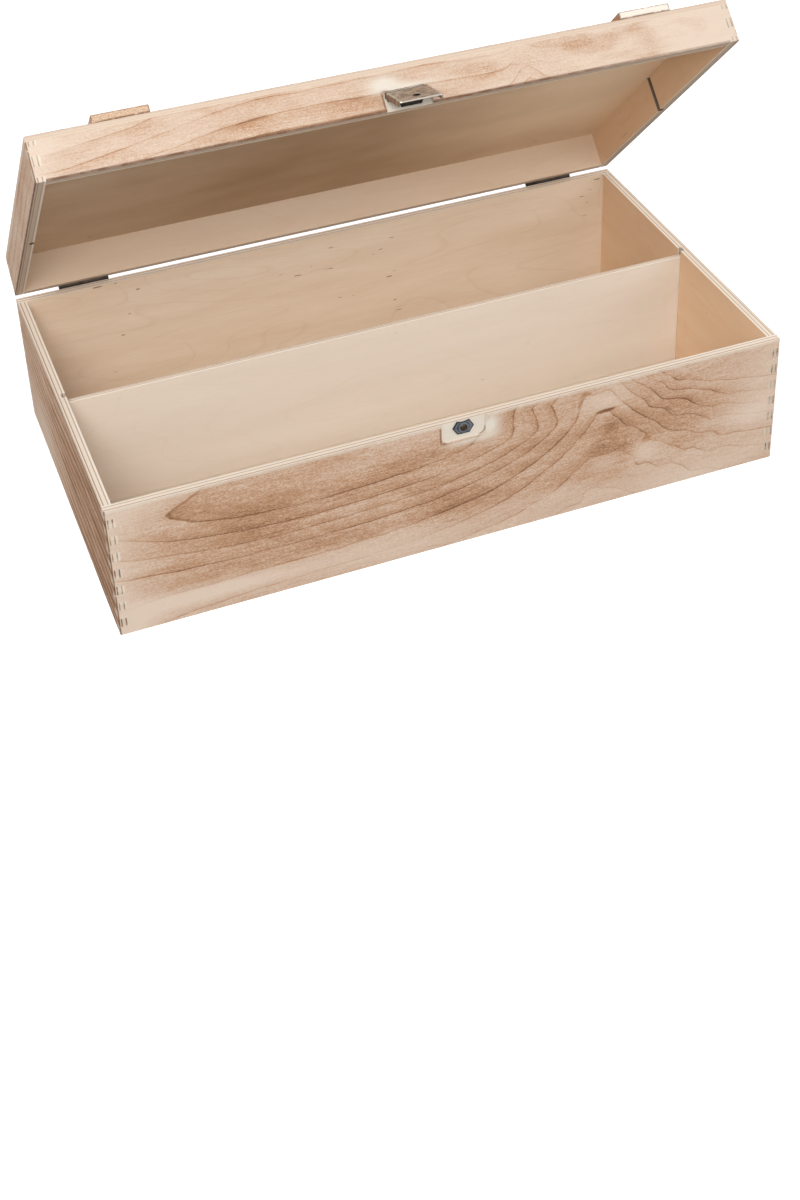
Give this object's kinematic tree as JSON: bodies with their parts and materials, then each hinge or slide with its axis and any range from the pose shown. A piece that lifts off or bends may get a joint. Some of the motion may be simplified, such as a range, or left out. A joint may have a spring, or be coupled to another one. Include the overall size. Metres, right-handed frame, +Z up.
{
  "type": "wine box",
  "caption": "Hinged plywood gift box for two wine bottles, finger-jointed, with a loose divider, battens on the lid and a small front latch.",
  "frame": {"origin": "middle of the underside that the box stands on, under the centre of the base", "axes": "+X along the box to the right of someone facing the latch, +Y from the latch side to the hinge side, +Z up"},
  "size_m": [0.37, 0.2281, 0.2459],
  "materials": {
    "flamed_plywood": "flamed birch plywood, scorched in the grain, unlacquered",
    "pale_plywood": "sanded pale birch plywood, unlacquered",
    "nickelled_steel": "pressed sheet steel, nickel plated",
    "dark_steel": "pressed sheet steel, darker plating",
    "bright_steel": "bright wire nails and pins"
  },
  "bodies": {
    "case": {"base_front_wall": "flamed_plywood", "base_back_wall": "flamed_plywood", "base_left_wall": "flamed_plywood", "base_right_wall": "flamed_plywood", "base_bottom_panel": "pale_plywood", "bottom_brads": "bright_steel", "left_hinge_base_leaf": "nickelled_steel", "right_hinge_base_leaf": "nickelled_steel", "left_hinge_pin": "bright_steel", "right_hinge_pin": "bright_steel", "hinge_base_brads": "bright_steel", "strike_plate": "nickelled_steel", "strike_nail": "bright_steel"},
    "lid": {"lid_front_wall": "flamed_plywood", "lid_back_wall": "flamed_plywood", "lid_left_wall": "flamed_plywood", "lid_right_wall": "flamed_plywood", "lid_top_panel": "flamed_plywood", "left_batten": "flamed_plywood", "right_batten": "flamed_plywood", "batten_brads": "bright_steel", "left_hinge_lid_leaf": "nickelled_steel", "right_hinge_lid_leaf": "nickelled_steel", "hinge_lid_brads": "bright_steel", "latch_mounting_plate": "nickelled_steel", "latch_plate_brads": "bright_steel", "latch_flap_pin": "bright_steel"},
    "divider": {"divider": "pale_plywood"},
    "latch_flap": {"latch_flap": "nickelled_steel", "latch_catch_pin": "bright_steel"},
    "latch_catch": {"latch_catch": "dark_steel"}
  },
  "joints": [
    {"name": "lid_hinge", "type": "hinge", "parent": "case", "child": "lid", "pos_m": [0, 0.106, 0.07815], "axis": [-1, 0, 0], "range_deg": [-45, 135]},
    {"name": "divider_lift", "type": "slide", "parent": "case", "child": "divider", "axis": [0, 0, 1], "range_m": [0, 0.024]},
    {"name": "flap_swing", "type": "hinge", "parent": "lid", "child": "latch_flap", "pos_m": [0.00175, -0.038, 0.23283], "axis": [-1, 0, 0], "range_deg": [-56.8, 18]},
    {"name": "catch_swing", "type": "hinge", "parent": "latch_flap", "child": "latch_catch", "pos_m": [0.00175, -0.04679, 0.23477], "axis": [1, 0, 0], "range_deg": [-131.9, 42]}
  ],
  "couplings": [
    {"joint": "catch_swing", "follows": "flap_swing", "ratio": 2.3204}
  ]
}
